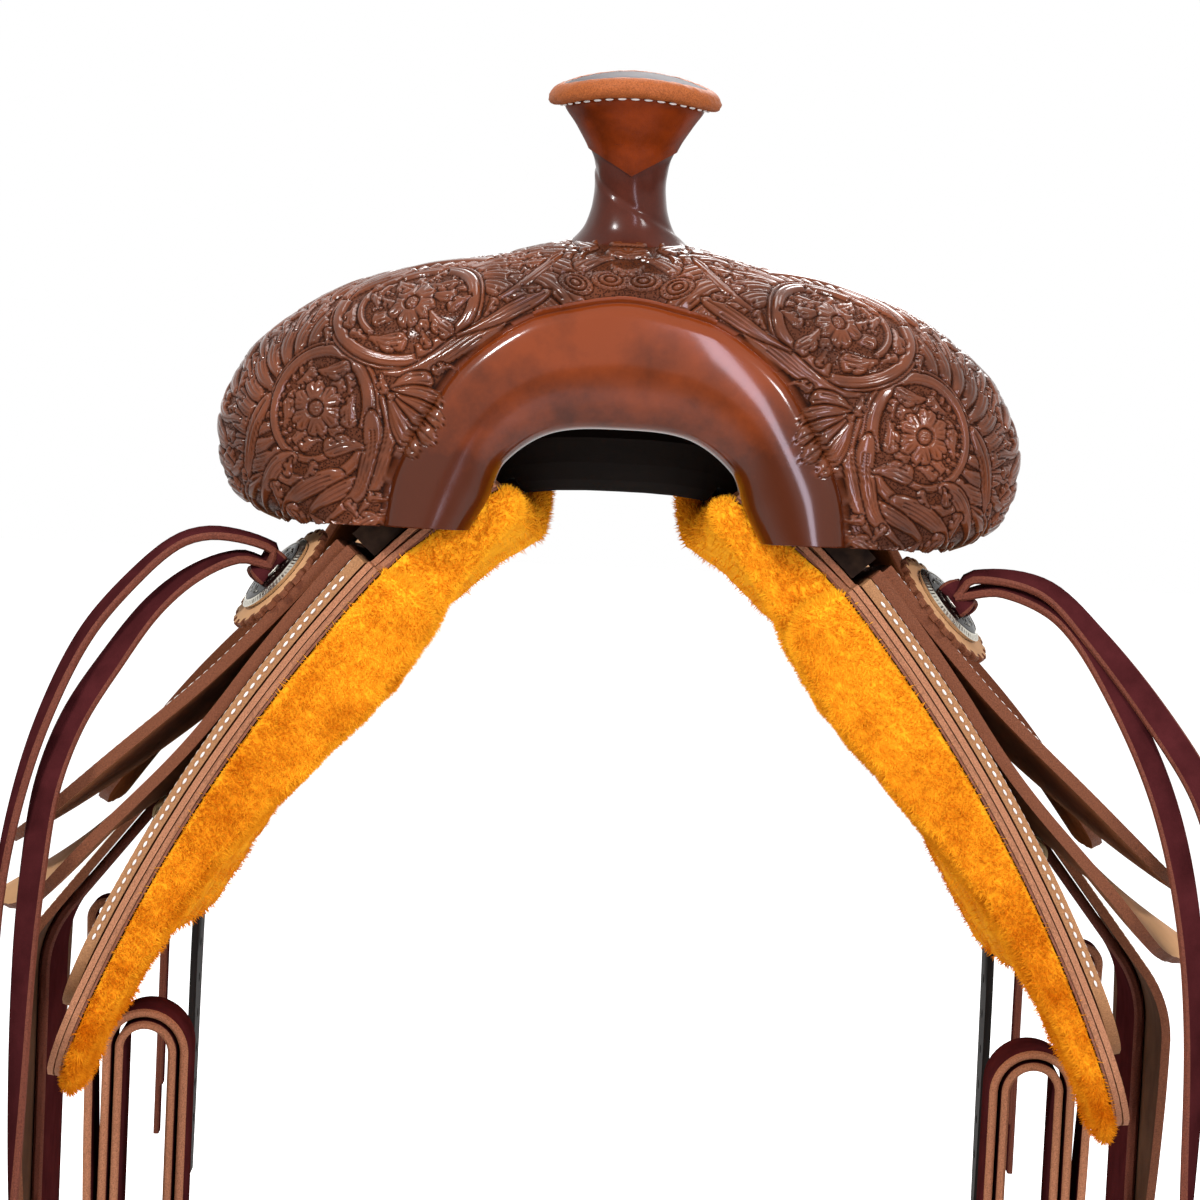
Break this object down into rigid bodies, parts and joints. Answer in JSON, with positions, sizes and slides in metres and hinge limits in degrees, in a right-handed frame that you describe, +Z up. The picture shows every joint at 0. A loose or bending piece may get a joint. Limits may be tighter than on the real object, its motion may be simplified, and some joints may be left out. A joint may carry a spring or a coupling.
{
  "type": "ranch saddle",
  "caption": "Western ranch saddle with a horn, wide carved fork, deep seat, layered skirts lined with fleece, hanging fenders with stirrups, rigging rings and saddle strings.",
  "frame": {"origin": "on the horse's spine under the middle of the saddle, 60 mm below the inner top of the gullet arch", "axes": "+Z up, the fork and horn at the -Y end, the near side at +X"},
  "size_m": [0.5734, 0.6945, 0.9187],
  "materials": {
    "carved_leather": "floral carved, antiqued, glossy finish",
    "smooth_leather": "smooth, satin gloss",
    "natural_leather": "natural tan, matte",
    "edged_leather": "heavy leather with rough burnished edges",
    "burgundy_leather": "oiled dark burgundy strap leather",
    "black_leather": "black strap leather, satin",
    "rawhide": "cream rawhide lacing",
    "fleece": "golden woolly fleece, matte",
    "chrome": "polished",
    "silver": "engraved and antiqued, satin",
    "tree_wood": "bare, matte"
  },
  "bodies": {
    "saddle": {"cantle_back": "natural_leather", "cantle_roll": "natural_leather", "concho_near": "silver", "concho_off": "silver", "front_jockey_near": "natural_leather", "front_jockey_off": "natural_leather", "front_strings_near": "burgundy_leather", "front_strings_off": "burgundy_leather", "ground_seat": "tree_wood", "gullet_cover": "smooth_leather", "horn_cap_leather": "edged_leather", "horn_core": "tree_wood", "horn_neck_wrap": "burgundy_leather", "horn_upper_wrap": "smooth_leather", "lower_jockey_near": "natural_leather", "lower_jockey_off": "natural_leather", "rear_jockey_near": "natural_leather", "rear_jockey_off": "natural_leather", "rear_keeper_near": "natural_leather", "rear_keeper_off": "natural_leather", "rear_strings_near": "burgundy_leather", "rear_strings_off": "burgundy_leather", "rigging_plate_near": "natural_leather", "rigging_plate_off": "natural_leather", "ring_wrap_near": "rawhide", "ring_wrap_off": "rawhide", "rosette_near": "edged_leather", "rosette_off": "edged_leather", "seat_jockey_near": "natural_leather", "seat_jockey_off": "natural_leather", "seat_leather": "smooth_leather", "skirt_fleece_near": "fleece", "skirt_fleece_off": "fleece", "skirt_near": "edged_leather", "skirt_off": "edged_leather", "swell_cover": "carved_leather", "tree_bar_near": "tree_wood", "tree_bar_off": "tree_wood", "tree_cantle": "tree_wood", "tree_fork": "tree_wood"},
    "near_fender": {"stirrup_leather_near": "burgundy_leather", "fender_near": "natural_leather", "hobble_strap_near": "burgundy_leather"},
    "near_stirrup": {"stirrup_near": "edged_leather", "stirrup_bolt_near": "chrome"},
    "near_front_ring": {"front_ring_near": "chrome", "latigo_near": "burgundy_leather"},
    "near_rear_ring": {"rear_ring_near": "chrome"},
    "near_flank_billet": {"flank_billet_near": "black_leather"},
    "off_fender": {"stirrup_leather_off": "burgundy_leather", "fender_off": "natural_leather", "hobble_strap_off": "burgundy_leather"},
    "off_stirrup": {"stirrup_off": "edged_leather", "stirrup_bolt_off": "chrome"},
    "off_front_ring": {"front_ring_off": "chrome", "latigo_off": "burgundy_leather"},
    "off_rear_ring": {"rear_ring_off": "chrome"},
    "off_flank_billet": {"flank_billet_off": "black_leather", "flank_buckle": "chrome"},
    "flank_cinch": {"flank_cinch": "burgundy_leather"}
  },
  "joints": [
    {"name": "near_fender_swing", "type": "hinge", "parent": "saddle", "child": "near_fender", "pos_m": [0.11297, -0.03, -0.01448], "axis": [0.788, 0, 0.6157], "range_deg": [-12, 15]},
    {"name": "near_stirrup_turn", "type": "hinge", "parent": "near_fender", "child": "near_stirrup", "pos_m": [0.2577, -0.03, -0.56], "axis": [0, -1, 0], "range_deg": [-40, 40]},
    {"name": "near_front_ring_lift", "type": "hinge", "parent": "saddle", "child": "near_front_ring", "pos_m": [0.19818, -0.16, -0.12802], "axis": [0, -1, 0], "range_deg": [0, 25]},
    {"name": "near_rear_ring_lift", "type": "hinge", "parent": "saddle", "child": "near_rear_ring", "pos_m": [0.17017, 0.205, -0.10823], "axis": [0, -1, 0], "range_deg": [0, 30]},
    {"name": "near_billet_swing", "type": "hinge", "parent": "near_rear_ring", "child": "near_flank_billet", "pos_m": [0.19739, 0.205, -0.15694], "axis": [0, -1, 0], "range_deg": [0, 30]},
    {"name": "off_fender_swing", "type": "hinge", "parent": "saddle", "child": "off_fender", "pos_m": [-0.11297, -0.03, -0.01448], "axis": [0.788, 0, -0.6157], "range_deg": [-12, 15]},
    {"name": "off_stirrup_turn", "type": "hinge", "parent": "off_fender", "child": "off_stirrup", "pos_m": [-0.2577, -0.03, -0.56], "axis": [0, 1, 0], "range_deg": [-40, 40]},
    {"name": "off_front_ring_lift", "type": "hinge", "parent": "saddle", "child": "off_front_ring", "pos_m": [-0.19818, -0.16, -0.12802], "axis": [0, 1, 0], "range_deg": [0, 25]},
    {"name": "off_rear_ring_lift", "type": "hinge", "parent": "saddle", "child": "off_rear_ring", "pos_m": [-0.17017, 0.205, -0.10823], "axis": [0, 1, 0], "range_deg": [0, 30]},
    {"name": "off_billet_swing", "type": "hinge", "parent": "off_rear_ring", "child": "off_flank_billet", "pos_m": [-0.19739, 0.205, -0.15694], "axis": [0, 1, 0], "range_deg": [0, 30]},
    {"name": "cinch_swing", "type": "hinge", "parent": "off_flank_billet", "child": "flank_cinch", "pos_m": [-0.22179, 0.205, -0.39358], "axis": [0, 1, 0], "range_deg": [-45, 45]}
  ]
}
